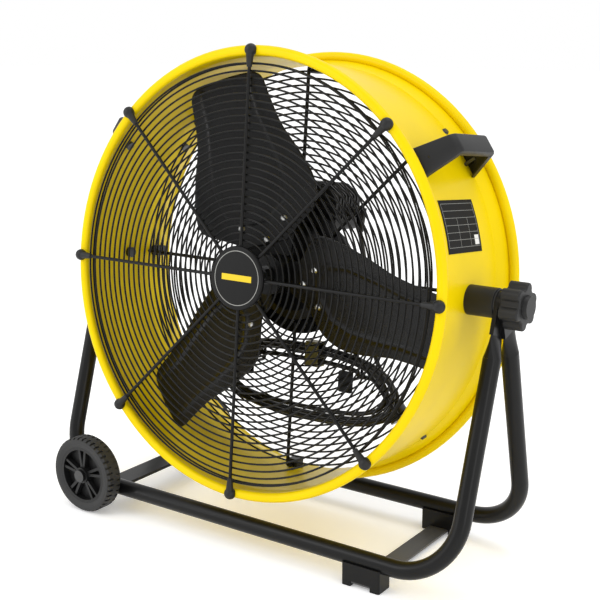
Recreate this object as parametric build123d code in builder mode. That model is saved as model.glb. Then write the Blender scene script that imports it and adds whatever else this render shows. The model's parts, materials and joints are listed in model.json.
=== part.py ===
from build123d import *
import os
from math import atan, cos, degrees, radians, sin, sqrt, tan

# 24 inch drum fan on a two-loop tube stand with a pair of wheels.
# Millimetres, +Z up. The fan blows towards -Y, the wheels are at the -X end of the stand, and the
# drum tilts about a horizontal axis along X. The origin is on the floor, in the middle of the fan.
# Everything on the drum is drawn level, about the pivot, and tilted when it is saved.

# ---- driving dimensions -------------------------------------------------------------------------
PIVOT_HEIGHT = 404.0
REST_TILT = 5.4  # front of the drum raised
FIT = 0.05  # radial play of pins in holes

# drum
WALL_RADIUS = 318.0  # inside of the barrel
WALL = 1.6
OUTER_RADIUS = WALL_RADIUS + WALL
BEAD_RADIUS = 7.5
FRONT_BEAD = (325.5, -94.0)  # radius from the axis, distance behind the pivot
REAR_BEAD = (334.0, 110.0)
FLARE_START = 78.0

# grilles
WIRE_RADIUS = 1.5
RING_PITCH = 10.5
FIRST_RING = 55.0
RING_COUNT = 25
OUTER_RING = FIRST_RING + RING_PITCH * (RING_COUNT - 1)
WELD = 0.02  # gap left between pieces that are welded together
FRONT_RING_Y = -100.4
FRONT_SPOKE_RADIUS = 2.5
FRONT_SPOKE_Y = FRONT_RING_Y - WIRE_RADIUS - FRONT_SPOKE_RADIUS - WELD
REAR_SPOKE_RADIUS = 2.75
REAR_SPOKE_Y = 44.0
REAR_RING_Y = REAR_SPOKE_Y + REAR_SPOKE_RADIUS + WIRE_RADIUS + WELD
REAR_FIRST_RING = 5  # inner rings give way to the motor
SPOKE_ANGLES = [45 * i for i in range(8)]
CLAMP_Y = 70.0

# motor and impeller
MOTOR_RADIUS = 75.0
SHAFT_RADIUS = 7.5
TIP_RADIUS = 307.0
BLADE_ANGLES = {"blade_1": 110, "blade_2": -10, "blade_3": -130}
BLADE_THICKNESS = 2.0
ARM_THICKNESS = 3.0

# stand
TUBE_RADIUS = 12.7
TUBE_WALL = 1.5
RAIL_Y = 116.0
RAIL_Z = 38.4
LOOP_HALF_WIDTH = 363.0
BEND_RADIUS = 88.0
FLAT_THICKNESS = 6.0
FLAT_WIDTH = 36.0
FRONT_FLAT_X = 364.0
REAR_FLAT_X = FRONT_FLAT_X + FLAT_THICKNESS
FOOT_X = 229.0
FOOT_LENGTH = 62.0
STRAP_WIDTH = 31.6
CROSSBAR_X = -259.0

# wheels
WHEEL_RADIUS = 62.0
WHEEL_X = -287.0
WHEEL_INNER_Y = 131.0
WHEEL_WIDTH = 30.0
AXLE_RADIUS = 6.0

# pivot
BOLT_RADIUS = 5.0
SPACER_RADIUS = 21.0
KNOB_X = REAR_FLAT_X + FLAT_THICKNESS + 0.3
KNOB_RADIUS = 33.0

# carry handles
HANDLE_ANGLES = {"right_carry_handle": 34.5, "left_carry_handle": 145.5}
HANDLE_BOLT_Y = 67.0

# power cord
CORD_RADIUS = 3.75
HANK_CENTRE = (0.0, 72.0, -182.0)
HANK_DEPTH = 18.0

os.makedirs("parts", exist_ok=True)

TILTED = Location((0, 0, PIVOT_HEIGHT), (-REST_TILT, 0, 0))


def save(part, name):
    part.label = name
    export_step(part, f"parts/{name}.step")


def save_on_drum(part, name):
    save(part.moved(TILTED), name)


def across(y):
    """A plane across the drum's axis, facing the front, with local y up."""
    return Plane(origin=(0, y, 0), x_dir=(1, 0, 0), z_dir=(0, -1, 0))


def radial(angle, radius, y):
    """A plane facing outward at an angle round the drum: local x runs back along the axis."""
    c, s = cos(radians(angle)), sin(radians(angle))
    return Plane(origin=(radius * c, y, radius * s), x_dir=(0, 1, 0), z_dir=(c, 0, s))


def meridian(angle):
    """A plane through the drum's axis: local x is the radius, local y runs back along the axis."""
    c, s = cos(radians(angle)), sin(radians(angle))
    return Plane(origin=(0, 0, 0), x_dir=(c, 0, s), z_dir=(-s, 0, c))


def polar(radius, angle):
    return (radius * cos(radians(angle)), radius * sin(radians(angle)))


# ---- barrel -------------------------------------------------------------------------------------
flare_end = REAR_BEAD[0] - BEAD_RADIUS
with BuildPart() as drum_barrel:
    with BuildSketch(Plane.XY):
        with BuildLine():
            Polyline(
                (WALL_RADIUS + 2.3, FRONT_BEAD[1] + 5.4),
                (WALL_RADIUS, -FLARE_START),
                (WALL_RADIUS, FLARE_START),
                (flare_end, REAR_BEAD[1] - 6),
                (flare_end, REAR_BEAD[1]),
                (flare_end + WALL, REAR_BEAD[1]),
                (flare_end + WALL, REAR_BEAD[1] - 6.3),
                (OUTER_RADIUS, FLARE_START - 0.3),
                (OUTER_RADIUS, 0.3 - FLARE_START),
                (OUTER_RADIUS + 2.3, FRONT_BEAD[1] + 5.4),
                close=True,
            )
        make_face()
        with Locations(FRONT_BEAD, REAR_BEAD):
            Circle(BEAD_RADIUS)
        with Locations(FRONT_BEAD, REAR_BEAD):
            Circle(BEAD_RADIUS - WALL, mode=Mode.SUBTRACT)
    revolve(axis=Axis.Y)
    for angle in HANDLE_ANGLES.values():
        for y in (-HANDLE_BOLT_Y, HANDLE_BOLT_Y):
            with BuildSketch(radial(angle, WALL_RADIUS - 5, y)):
                Circle(3.0 + FIT)
            extrude(amount=12, mode=Mode.SUBTRACT)
    for angle in SPOKE_ANGLES:
        with BuildSketch(radial(angle, WALL_RADIUS - 5, CLAMP_Y)):
            Circle(2.5 + FIT)
        extrude(amount=12, mode=Mode.SUBTRACT)
    with BuildSketch(Plane.YZ):
        Circle(BOLT_RADIUS + FIT)
    extrude(amount=OUTER_RADIUS + 5, both=True, mode=Mode.SUBTRACT)
save_on_drum(drum_barrel.part, "drum_barrel")

# ---- front grille -------------------------------------------------------------------------------
# The wires are welded where they cross: rings and spokes are separate pieces a hair apart. The thin
# ring wires have eight-sided sections, which keep so many long rings light.
ring_radii = [FIRST_RING + RING_PITCH * i for i in range(RING_COUNT)]
with BuildPart() as front_grille_rings:
    with BuildSketch(Plane.XY):
        with Locations([(r, FRONT_RING_Y) for r in ring_radii]):
            RegularPolygon(WIRE_RADIUS, 8)
        with Locations((OUTER_RING, FRONT_RING_Y + 7)):
            RegularPolygon(WIRE_RADIUS, 8)
    revolve(axis=Axis.Y)
save_on_drum(front_grille_rings.part, "front_grille_rings")

with BuildPart() as front_grille_spokes:
    for angle in SPOKE_ANGLES:
        with BuildSketch(radial(angle, 40, FRONT_SPOKE_Y)):
            Circle(FRONT_SPOKE_RADIUS)
        extrude(amount=FRONT_BEAD[0] - 40)
    with BuildSketch(across(FRONT_SPOKE_Y + 1.5)):
        Circle(44)
    extrude(amount=3)
save_on_drum(front_grille_spokes.part, "front_grille_spokes")

# ball-ended caps that clip the spokes over the front bead
CAP_RADIUS = 9.0
CAP_Y = -103.0
with BuildPart() as front_cap:
    with BuildSketch(Plane.XY):
        with BuildLine():
            Polyline(
                (FRONT_BEAD[0], FRONT_SPOKE_Y),
                (FRONT_BEAD[0], FRONT_SPOKE_Y - 6.5),
                (FRONT_BEAD[0] - 24, FRONT_SPOKE_Y - 3.8),
                (FRONT_BEAD[0] - 24, FRONT_SPOKE_Y),
                close=True,
            )
        make_face()
    revolve(axis=Axis((0, FRONT_SPOKE_Y, 0), (1, 0, 0)))
    with Locations((FRONT_BEAD[0], CAP_Y, 0)):
        Sphere(CAP_RADIUS)
    with BuildSketch(Plane.YZ.offset(FRONT_BEAD[0] - 30)):
        with Locations((FRONT_SPOKE_Y, 0)):
            Circle(FRONT_SPOKE_RADIUS + 0.02)
    extrude(amount=30, mode=Mode.SUBTRACT)
    for radius, y, groove in ((FRONT_BEAD[0], FRONT_BEAD[1], BEAD_RADIUS), (OUTER_RING, FRONT_RING_Y, WIRE_RADIUS)):
        with BuildSketch(Plane.XY.offset(-20)):
            with Locations((radius, y)):
                Circle(groove + 0.25)
        extrude(amount=40, mode=Mode.SUBTRACT)
front_grille_caps = Part() + [front_cap.part.rotate(Axis.Y, -angle) for angle in SPOKE_ANGLES]
save_on_drum(front_grille_caps, "front_grille_caps")

# plain round badge over the middle of the grille
badge_y = FRONT_SPOKE_Y - FRONT_SPOKE_RADIUS
with BuildPart() as badge_disc:
    with BuildSketch(across(badge_y)):
        Circle(47)
    extrude(amount=5)
    fillet(badge_disc.edges().filter_by(GeomType.CIRCLE).sort_by(Axis.Y)[:1], 2.5)
save_on_drum(badge_disc.part, "badge_disc")

# ---- rear grille --------------------------------------------------------------------------------
HOOP_INNER = MOTOR_RADIUS + 3.5
HOOP_OUTER = 98.0
hoop_y = REAR_SPOKE_Y + 1.5
SPOKE_END_RADIUS = WALL_RADIUS - REAR_SPOKE_RADIUS - 0.5
motor_bolt_spots = [polar(88, 22.5 + 90 * i) for i in range(4)]
with BuildPart() as rear_grille_rings:
    with BuildSketch(Plane.XY):
        with Locations([(r, REAR_RING_Y) for r in ring_radii[REAR_FIRST_RING:]]):
            RegularPolygon(WIRE_RADIUS, 8)
    revolve(axis=Axis.Y)
save_on_drum(rear_grille_rings.part, "rear_grille_rings")

with BuildPart() as rear_grille_spokes:
    for angle in SPOKE_ANGLES:
        with BuildLine(meridian(angle)) as spoke_path:
            FilletPolyline(
                (HOOP_INNER + 3, REAR_SPOKE_Y),
                (SPOKE_END_RADIUS, REAR_SPOKE_Y),
                (SPOKE_END_RADIUS, CLAMP_Y - 6),
                radius=6,
            )
        with BuildSketch(radial(angle, HOOP_INNER + 3, REAR_SPOKE_Y)):
            Circle(REAR_SPOKE_RADIUS)
        sweep(path=spoke_path.line)
    with BuildSketch(across(hoop_y + 3)):
        Circle(HOOP_OUTER)
        Circle(HOOP_INNER, mode=Mode.SUBTRACT)
        with Locations(motor_bolt_spots):
            Circle(3, mode=Mode.SUBTRACT)
    extrude(amount=3)
save_on_drum(rear_grille_spokes.part, "rear_grille_spokes")

# blocks that clamp the ends of the spokes to the barrel, and their screws
with BuildPart() as rear_grille_clamps:
    for angle in SPOKE_ANGLES:
        with BuildSketch(radial(angle, 305, CLAMP_Y - 3)):
            RectangleRounded(21, 17, 2.5)
        extrude(amount=WALL_RADIUS - 305)
    with BuildSketch(Plane.XY):
        with Locations((WALL_RADIUS - FIT, 0)):
            Rectangle(20, 300, align=(Align.MIN, Align.CENTER))
    revolve(axis=Axis.Y, mode=Mode.SUBTRACT)
    for angle in SPOKE_ANGLES:
        with BuildSketch(radial(angle, 300, CLAMP_Y)):
            Circle(2.5 + FIT)
        extrude(amount=25, mode=Mode.SUBTRACT)
        x, z = polar(SPOKE_END_RADIUS, angle)
        with BuildSketch(across(CLAMP_Y - 5.9)):
            with Locations((x, z)):
                Circle(REAR_SPOKE_RADIUS + FIT)
        extrude(amount=20, mode=Mode.SUBTRACT)
save_on_drum(rear_grille_clamps.part, "rear_grille_clamps")

with BuildPart() as clamp_screws:
    for angle in SPOKE_ANGLES:
        with BuildSketch(radial(angle, 306, CLAMP_Y)):
            Circle(2.5)
        extrude(amount=OUTER_RADIUS - 305)
        with BuildSketch(radial(angle, OUTER_RADIUS + 0.02, CLAMP_Y)):
            Circle(5.5)
        extrude(amount=3, taper=25)
save_on_drum(clamp_screws.part, "clamp_screws")

# ---- carry handles ------------------------------------------------------------------------------
HANDLE_TOP = 376.0
HANDLE_FOOT = 77.0
HANDLE_GRIP = 50.0
for name, angle in HANDLE_ANGLES.items():
    with BuildPart() as handle:
        with BuildSketch(meridian(angle)):
            with BuildLine():
                Polyline(
                    (WALL_RADIUS - 6, -HANDLE_FOOT),
                    (WALL_RADIUS + 4, -HANDLE_FOOT),
                    (HANDLE_TOP, -HANDLE_GRIP),
                    (HANDLE_TOP, HANDLE_GRIP),
                    (WALL_RADIUS + 4, HANDLE_FOOT),
                    (WALL_RADIUS - 6, HANDLE_FOOT),
                    close=True,
                )
            make_face()
            with BuildLine():
                Polyline(
                    (WALL_RADIUS - 6, -54),
                    (WALL_RADIUS + 8, -54),
                    (HANDLE_TOP - 11, -37),
                    (HANDLE_TOP - 11, 37),
                    (WALL_RADIUS + 8, 54),
                    (WALL_RADIUS - 6, 54),
                    close=True,
                )
            make_face(mode=Mode.SUBTRACT)
        extrude(amount=22, both=True)
        # the grip is narrower than the feet
        with BuildSketch(Plane(origin=(0, -100, 0), x_dir=meridian(angle).x_dir, z_dir=(0, -1, 0))):
            with BuildLine():
                Polyline(
                    (WALL_RADIUS - 10, -22),
                    (WALL_RADIUS + 4, -22),
                    (HANDLE_TOP + 1, -14.5),
                    (HANDLE_TOP + 1, 14.5),
                    (WALL_RADIUS + 4, 22),
                    (WALL_RADIUS - 10, 22),
                    close=True,
                )
            make_face()
        extrude(amount=-200, mode=Mode.INTERSECT)
        with BuildSketch(Plane.XY):
            with Locations((OUTER_RADIUS + FIT, 0)):
                Rectangle(OUTER_RADIUS, 300, align=(Align.MAX, Align.CENTER))
        revolve(axis=Axis.Y, mode=Mode.SUBTRACT)
        for y in (-HANDLE_BOLT_Y, HANDLE_BOLT_Y):
            with BuildSketch(radial(angle, WALL_RADIUS, y)):
                Circle(3.0 + FIT)
            extrude(amount=21, mode=Mode.SUBTRACT)
    save_on_drum(handle.part, name)

with BuildPart() as handle_bolts:
    for angle in HANDLE_ANGLES.values():
        for y in (-HANDLE_BOLT_Y, HANDLE_BOLT_Y):
            with BuildSketch(radial(angle, WALL_RADIUS - 0.3, y)):
                Circle(3.0)
            extrude(amount=20)
            with BuildSketch(radial(angle, WALL_RADIUS - 0.3, y)):
                Circle(7.0)
            extrude(amount=-4.5)
save_on_drum(handle_bolts.part, "handle_bolts")

# ---- rating plate -------------------------------------------------------------------------------
PLATE_ANGLES = (11.6, 24.8)
PLATE_Y = (-61.0, 38.0)
with BuildPart() as rating_plate:
    with BuildSketch(Plane.XY):
        with Locations((OUTER_RADIUS + 0.02, (PLATE_Y[0] + PLATE_Y[1]) / 2)):
            Rectangle(0.6, PLATE_Y[1] - PLATE_Y[0], align=(Align.MIN, Align.CENTER))
    revolve(axis=Axis.Y, revolution_arc=PLATE_ANGLES[1] - PLATE_ANGLES[0])
turned = rating_plate.part.rotate(Axis.Y, -PLATE_ANGLES[1])
save_on_drum(turned, "rating_plate")

# ---- pivot: bolts, spacers, friction washers ----------------------------------------------------
with BuildPart() as pivot_spacers:
    with BuildSketch(Plane.YZ.offset(310)):
        Circle(SPACER_RADIUS)
        Circle(BOLT_RADIUS + FIT, mode=Mode.SUBTRACT)
    extrude(amount=FRONT_FLAT_X - 2.1 - 310)
    with BuildSketch(Plane.XY):
        with Locations((OUTER_RADIUS + 0.02, 0)):
            Rectangle(OUTER_RADIUS, 100, align=(Align.MAX, Align.CENTER))
    revolve(axis=Axis.Y, mode=Mode.SUBTRACT)
    fillet(pivot_spacers.edges().filter_by(GeomType.CIRCLE).group_by(Axis.X)[-1].sort_by(
        SortBy.RADIUS)[-1:], 1.0)
    mirror(about=Plane.YZ)
save_on_drum(pivot_spacers.part, "pivot_spacers")

with BuildPart() as friction_washers:
    with BuildSketch(Plane.YZ.offset(FRONT_FLAT_X - 2.05)):
        Circle(SPACER_RADIUS - 2)
        Circle(BOLT_RADIUS + FIT, mode=Mode.SUBTRACT)
    extrude(amount=2)
    mirror(about=Plane.YZ)
save_on_drum(friction_washers.part, "friction_washers")

with BuildPart() as pivot_bolts:
    with BuildSketch(Plane.YZ.offset(WALL_RADIUS - 8.5)):
        Circle(8.5)
    extrude(amount=7)
    with BuildSketch(Plane.YZ.offset(WALL_RADIUS - 2)):
        Circle(BOLT_RADIUS)
    extrude(amount=KNOB_X + 22 - WALL_RADIUS + 2)
    mirror(about=Plane.YZ)
save_on_drum(pivot_bolts.part, "pivot_bolts")

# ---- motor --------------------------------------------------------------------------------------
def turned_part(outline, holes=()):
    """A solid of revolution about the drum's axis from (radius, y) points."""
    with BuildPart() as piece:
        with BuildSketch(Plane.XY):
            with BuildLine():
                Polyline(*outline, close=True)
            make_face()
        revolve(axis=Axis.Y)
        for spot, hole, y, depth in holes:
            with BuildSketch(across(y)):
                with Locations(spot):
                    Circle(hole)
            extrude(amount=-depth, mode=Mode.SUBTRACT)
    return piece.part


BEARING_RADIUS = 17.5
BEARING_WIDTH = 11.0
FRONT_BEARING_Y = 29.0
REAR_BEARING_Y = 96.0
FLANGE_Y = hoop_y + 3 + 0.05
motor_front_bell = turned_part(
    [
        (SHAFT_RADIUS + 1.5, 26), (60, 26), (MOTOR_RADIUS, 34), (MOTOR_RADIUS, 46),
        (MOTOR_RADIUS - 4, 46), (MOTOR_RADIUS - 4, 36), (BEARING_RADIUS + 4, 32),
        (BEARING_RADIUS + 4, FRONT_BEARING_Y + BEARING_WIDTH),
        (BEARING_RADIUS + 0.02, FRONT_BEARING_Y + BEARING_WIDTH),
        (BEARING_RADIUS + 0.02, FRONT_BEARING_Y), (SHAFT_RADIUS + 1.5, FRONT_BEARING_Y),
    ]
)
save_on_drum(motor_front_bell, "motor_front_bell")

motor_shell = turned_part(
    [
        (MOTOR_RADIUS, 46.05), (MOTOR_RADIUS, FLANGE_Y), (HOOP_OUTER - 2, FLANGE_Y),
        (HOOP_OUTER - 2, FLANGE_Y + 3), (MOTOR_RADIUS, FLANGE_Y + 3), (MOTOR_RADIUS, 90),
        (MOTOR_RADIUS - 3.5, 90), (MOTOR_RADIUS - 3.5, 46.05),
    ],
    [(spot, 3, FLANGE_Y - 1, 6) for spot in motor_bolt_spots],
)
save_on_drum(motor_shell, "motor_shell")

vent_spots = [(48 * cos(radians(a)), 48 * sin(radians(a))) for a in range(0, 360, 30)]
motor_rear_bell = turned_part(
    [
        (0, 114), (0, 110), (BEARING_RADIUS + 0.02, 110),
        (BEARING_RADIUS + 0.02, REAR_BEARING_Y), (BEARING_RADIUS + 4, REAR_BEARING_Y),
        (BEARING_RADIUS + 4, 108), (50, 108), (MOTOR_RADIUS - 4, 94), (MOTOR_RADIUS - 4, 90.05),
        (MOTOR_RADIUS, 90.05), (MOTOR_RADIUS, 95), (56, 112), (20, 114),
    ],
    [(spot, 5, 100, 20) for spot in vent_spots],
)
save_on_drum(motor_rear_bell, "motor_rear_bell")

stator_core = turned_part(
    [(45, 52), (MOTOR_RADIUS - 3.6, 52), (MOTOR_RADIUS - 3.6, 84), (45, 84)]
)
save_on_drum(stator_core, "stator_core")

with BuildPart() as stator_windings:
    with BuildSketch(Plane.XY):
        with Locations((58, 46.9), (58, 89.1)):
            RectangleRounded(17, 10, 3)
    revolve(axis=Axis.Y)
save_on_drum(stator_windings.part, "stator_windings")

with BuildPart() as motor_bearings:
    with BuildSketch(Plane.XY):
        for y in (FRONT_BEARING_Y, REAR_BEARING_Y):
            with Locations(((SHAFT_RADIUS + FIT + BEARING_RADIUS) / 2, y + BEARING_WIDTH / 2)):
                Rectangle(BEARING_RADIUS - SHAFT_RADIUS - FIT, BEARING_WIDTH - 0.1)
            with Locations((12.5, y), (12.5, y + BEARING_WIDTH)):
                Rectangle(4, 2, mode=Mode.SUBTRACT)
    revolve(axis=Axis.Y)
save_on_drum(motor_bearings.part, "motor_bearings")

with BuildPart() as motor_bolts:
    for x, z in motor_bolt_spots:
        for y, radius, length in ((FLANGE_Y + 3.05, 5, -4), (FLANGE_Y + 3.05, 2.9, 10), (hoop_y - 4.05, 5, -4)):
            with BuildSketch(across(y)):
                with Locations((x, z)):
                    Circle(radius) if radius < 5 else RegularPolygon(radius, 6)
            extrude(amount=length)
save_on_drum(motor_bolts.part, "motor_bolts")

# ---- impeller -----------------------------------------------------------------------------------
def blade_plane(angle):
    """Local x runs out along the blade, local y round the drum, local z towards the front."""
    c, s = cos(radians(angle)), sin(radians(angle))
    return Plane(origin=(0, 0, 0), x_dir=(c, 0, s), z_dir=(0, -1, 0))


def pitch_line(u):
    """How far forward the blade's middle is at radius u, and the slope of its pitch."""
    return 18 + 12 * (u - 80) / 227, 0.5 - 0.22 * (u - 80) / 227


def twisted_sheet(start, end, thickness, back):
    """A sheet between two pitched straight lines, set back from the blade's middle surface."""
    with BuildPart() as sheet:
        for u in (start, end):
            forward, slope = pitch_line(u)
            lean = atan(slope)
            tip = Plane(origin=(u, 0, forward), x_dir=(0, cos(lean), sin(lean)), z_dir=(1, 0, 0))
            with BuildSketch(tip):
                with Locations((0, -back)):
                    Rectangle(240, thickness)
        loft(ruled=True)
    return sheet.part


LEADING_EDGE = [(46, 26), (62, 50), (86, 84), (125, 87), (170, 78), (215, 65), (255, 60), (TIP_RADIUS + 4, 57)]
TRAILING_EDGE = [(46, -26), (62, -46), (86, -76), (125, -86), (170, -78), (215, -65), (255, -60), (TIP_RADIUS + 4, -57)]
RIVETS = [(79, 30), (79, -30), (54, 0)]
RIVET_RADIUS = 2.5
blade_sheet = twisted_sheet(30, 320, BLADE_THICKNESS, 0)
with BuildPart() as blade:
    add(blade_sheet)
    with BuildSketch(Plane.XY.offset(-120)) as blade_outline:
        with BuildLine():
            Spline(*LEADING_EDGE)
            Spline(*TRAILING_EDGE)
            Line(LEADING_EDGE[0], TRAILING_EDGE[0])
            Line(LEADING_EDGE[-1], TRAILING_EDGE[-1])
        make_face()
        Circle(TIP_RADIUS, mode=Mode.INTERSECT)
        fillet(blade_outline.vertices().sort_by(Axis.X)[-2:], 16)
    extrude(amount=240, mode=Mode.INTERSECT)
    with BuildSketch(Plane.XY.offset(-120)):
        with Locations(RIVETS):
            Circle(RIVET_RADIUS + 0.6)
    extrude(amount=240, mode=Mode.SUBTRACT)
for name, angle in BLADE_ANGLES.items():
    save_on_drum(blade.part.moved(blade_plane(angle).location), name)

arm_back = (BLADE_THICKNESS + ARM_THICKNESS) / 2 + 0.3
arm_sheet = twisted_sheet(18, 96, ARM_THICKNESS, arm_back)
with BuildPart() as arm:
    add(arm_sheet)
    with BuildSketch(Plane.XY.offset(-120)):
        with BuildLine():
            FilletPolyline((22, -24), (50, -36), (90, -40), (90, 40), (50, 36), (22, 24), radius=6, close=True)
        make_face()
    extrude(amount=240, mode=Mode.INTERSECT)
    with BuildSketch(Plane.XY.offset(-120)):
        with Locations(RIVETS):
            Circle(RIVET_RADIUS + 0.6)
    extrude(amount=240, mode=Mode.SUBTRACT)
HUB_RADIUS = 30.0
HUB_Y = (-38.0, 5.0)
with BuildPart() as impeller_hub:
    with BuildSketch(across(HUB_Y[1])):
        Circle(HUB_RADIUS)
    extrude(amount=HUB_Y[1] - HUB_Y[0])
    for angle in BLADE_ANGLES.values():
        add(arm.part.moved(blade_plane(angle).location))
    with BuildSketch(across(HUB_Y[1] + 1)):
        Circle(SHAFT_RADIUS + 0.02)
    extrude(amount=60, mode=Mode.SUBTRACT)
save_on_drum(impeller_hub.part, "impeller_hub")

with BuildPart() as rivet_set:
    for u, v in RIVETS:
        forward, slope = pitch_line(u)
        normal = Vector(-(12 - 0.22 * v) / 227, -slope, 1).normalized()
        spot = Vector(u, v, forward + slope * v)
        head = Plane(origin=tuple(spot + normal * (BLADE_THICKNESS / 2 + 0.25)), z_dir=tuple(normal))
        grip = BLADE_THICKNESS + ARM_THICKNESS + 0.9
        tail = Plane(origin=tuple(head.origin - normal * grip), z_dir=tuple(-normal))
        with BuildSketch(head):
            Circle(5.2)
        extrude(amount=2.4, taper=35)
        with BuildSketch(head):
            Circle(RIVET_RADIUS)
        extrude(amount=-grip)
        with BuildSketch(tail):
            Circle(4.5)
        extrude(amount=2, taper=30)
blade_rivets = Part() + [
    rivet_set.part.moved(blade_plane(angle).location) for angle in BLADE_ANGLES.values()
]
save_on_drum(blade_rivets, "blade_rivets")

motor_shaft = turned_part(
    [(0, -54), (6, -54), (6, HUB_Y[0]), (SHAFT_RADIUS, HUB_Y[0]), (SHAFT_RADIUS, 108), (0, 108)]
)
save_on_drum(motor_shaft, "motor_shaft")

rotor_core = turned_part([(SHAFT_RADIUS + 0.02, 51), (44.5, 51), (44.5, 85), (SHAFT_RADIUS + 0.02, 85)])
save_on_drum(rotor_core, "rotor_core")

with BuildPart() as hub_nut:
    with BuildSketch(across(HUB_Y[0] - 0.02)):
        Circle(14)
        Circle(6.05, mode=Mode.SUBTRACT)
    extrude(amount=2.5)
    with BuildSketch(across(HUB_Y[0] - 2.52)):
        RegularPolygon(11, 6)
        Circle(6.05, mode=Mode.SUBTRACT)
    extrude(amount=10)
save_on_drum(hub_nut.part, "hub_nut")

# ---- switch box on the motor --------------------------------------------------------------------
BOX_HALF = 55.0
BOX_BOTTOM = 68.0
BOX_TOP = 138.0
BOX_FRONT_Y = 58.0
BOX_BACK_Y = 122.0
BOX_WALL = 2.5
COVER_SCREWS = [(-47, 83), (47, 83), (-38, 126), (38, 126)]


def box_face(inset, bottom):
    """The switch box seen from the front, drawn in by an inset."""
    half, top = BOX_HALF - inset, BOX_TOP - inset
    outline = FilletPolyline(
        (-half, bottom), (half, bottom), (half, top - 18), (half - 24, top), (24 - half, top),
        (-half, top - 18), radius=7, close=True,
    )
    return make_face(outline)


box_outer = box_face(0, BOX_BOTTOM)
box_ribbed = box_face(-1.6, BOX_BOTTOM + 14)
box_inner = box_face(BOX_WALL, 79)
box_lid = box_face(-0.5, BOX_BOTTOM + 8)

with BuildPart() as switch_box:
    with BuildSketch(across(BOX_BACK_Y)):
        add(box_outer)
    extrude(amount=BOX_BACK_Y - BOX_FRONT_Y)
    # cooling ribs down the sides
    for y in range(66, 118, 8):
        with BuildSketch(across(y + 3)):
            add(box_ribbed)
        extrude(amount=3)
    with BuildSketch(across(BOX_BACK_Y)):
        add(box_inner)
    extrude(amount=BOX_BACK_Y - BOX_FRONT_Y - BOX_WALL, mode=Mode.SUBTRACT)
    with BuildSketch(across(BOX_BACK_Y)):
        with Locations(COVER_SCREWS):
            Circle(4.5)
    extrude(amount=40)
    with BuildSketch(across(BOX_BACK_Y)):
        with Locations(COVER_SCREWS):
            Circle(1.75)
    extrude(amount=20, mode=Mode.SUBTRACT)
    with BuildSketch(Plane.XY):
        with Locations((MOTOR_RADIUS + 0.3, 0)):
            Rectangle(MOTOR_RADIUS, 300, align=(Align.MAX, Align.CENTER))
    revolve(axis=Axis.Y, mode=Mode.SUBTRACT)
    with BuildSketch(Plane.YZ.offset(BOX_HALF - 5)):
        with Locations((104, 96)):
            Circle(6.05)
    extrude(amount=12, mode=Mode.SUBTRACT)
save_on_drum(switch_box.part, "switch_box")

KNOB_SPOT = (-18, 106)
with BuildPart() as switch_box_cover:
    with BuildSketch(across(BOX_BACK_Y + 3.05)):
        add(box_lid)
        with Locations(COVER_SCREWS):
            Circle(1.8, mode=Mode.SUBTRACT)
        with Locations(KNOB_SPOT):
            Circle(3.4, mode=Mode.SUBTRACT)
    extrude(amount=3)
save_on_drum(switch_box_cover.part, "switch_box_cover")

with BuildPart() as cover_screws:
    with BuildSketch(across(BOX_BACK_Y + 3.1)):
        with Locations(COVER_SCREWS):
            Circle(1.7)
    extrude(amount=16)
    with BuildSketch(across(BOX_BACK_Y + 3.1)):
        with Locations(COVER_SCREWS):
            Circle(3.4)
    extrude(amount=-2.2, taper=20)
save_on_drum(cover_screws.part, "cover_screws")

with BuildPart() as speed_switch:
    with BuildSketch(across(BOX_BACK_Y - 0.05)):
        with Locations(KNOB_SPOT):
            RectangleRounded(30, 30, 3)
            Circle(3.4, mode=Mode.SUBTRACT)
    extrude(amount=22)
save_on_drum(speed_switch.part, "speed_switch")

with BuildPart() as capacitor:
    with BuildSketch(across(BOX_BACK_Y - 4)):
        with Locations((26, 105)):
            Circle(16)
    extrude(amount=50)
    fillet(capacitor.edges().filter_by(GeomType.CIRCLE), 1.5)
save_on_drum(capacitor.part, "capacitor")

with BuildPart() as switch_knob:
    with BuildSketch(across(BOX_BACK_Y + 3.4)):
        with Locations(KNOB_SPOT):
            Circle(16)
    extrude(amount=-5, taper=8)
    with BuildSketch(across(BOX_BACK_Y + 8.4)):
        with Locations(KNOB_SPOT):
            RectangleRounded(26, 8, 3.5)
    extrude(amount=-10, taper=5)
    with BuildSketch(across(BOX_BACK_Y + 4)):
        with Locations(KNOB_SPOT):
            Circle(3)
    extrude(amount=18)
save_on_drum(switch_knob.part, "switch_knob")

# ---- power cord ---------------------------------------------------------------------------------
GLAND_END = (72, 104, 66)
with BuildPart() as cord_gland:
    with BuildSketch(Plane.YZ.offset(BOX_HALF + 1.7)):
        with Locations((104, 96)):
            Circle(9)
    extrude(amount=9)
    with BuildSketch(Plane.YZ.offset(BOX_HALF - 3)):
        with Locations((104, 96)):
            Circle(6)
    extrude(amount=6)
    with BuildSketch(Plane.XY.offset(GLAND_END[2])):
        with Locations(GLAND_END[:2]):
            Circle(5)
    with BuildSketch(Plane.XY.offset(103)):
        with Locations(GLAND_END[:2]):
            Circle(8.5)
    loft()
save_on_drum(cord_gland.part, "cord_gland")


def cord_tube(points):
    """A round cord along straight runs joined by the largest arcs that the runs allow."""
    corners = [Vector(p) for p in points]
    radii = []
    for before, here, after in zip(corners, corners[1:], corners[2:]):
        inward, outward = here - before, after - here
        turn = radians(inward.get_angle(outward))
        radii.append(0.45 * min(inward.length, outward.length) / tan(turn / 2))
    print("cord radii", [round(r) for r in radii])
    with BuildPart() as tube:
        with BuildLine() as route:
            FilletPolyline(*points, radius=radii)
        start = corners[1] - corners[0]
        with BuildSketch(Plane(origin=points[0], z_dir=tuple(start))):
            Circle(CORD_RADIUS)
        sweep(path=route.line)
    length = sum(edge.length for edge in route.edges())
    print("cord length", round(length, 1), "volume ratio",
          round(tube.part.volume / (length * 3.14159265 * CORD_RADIUS**2), 4))
    return tube.part


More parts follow.
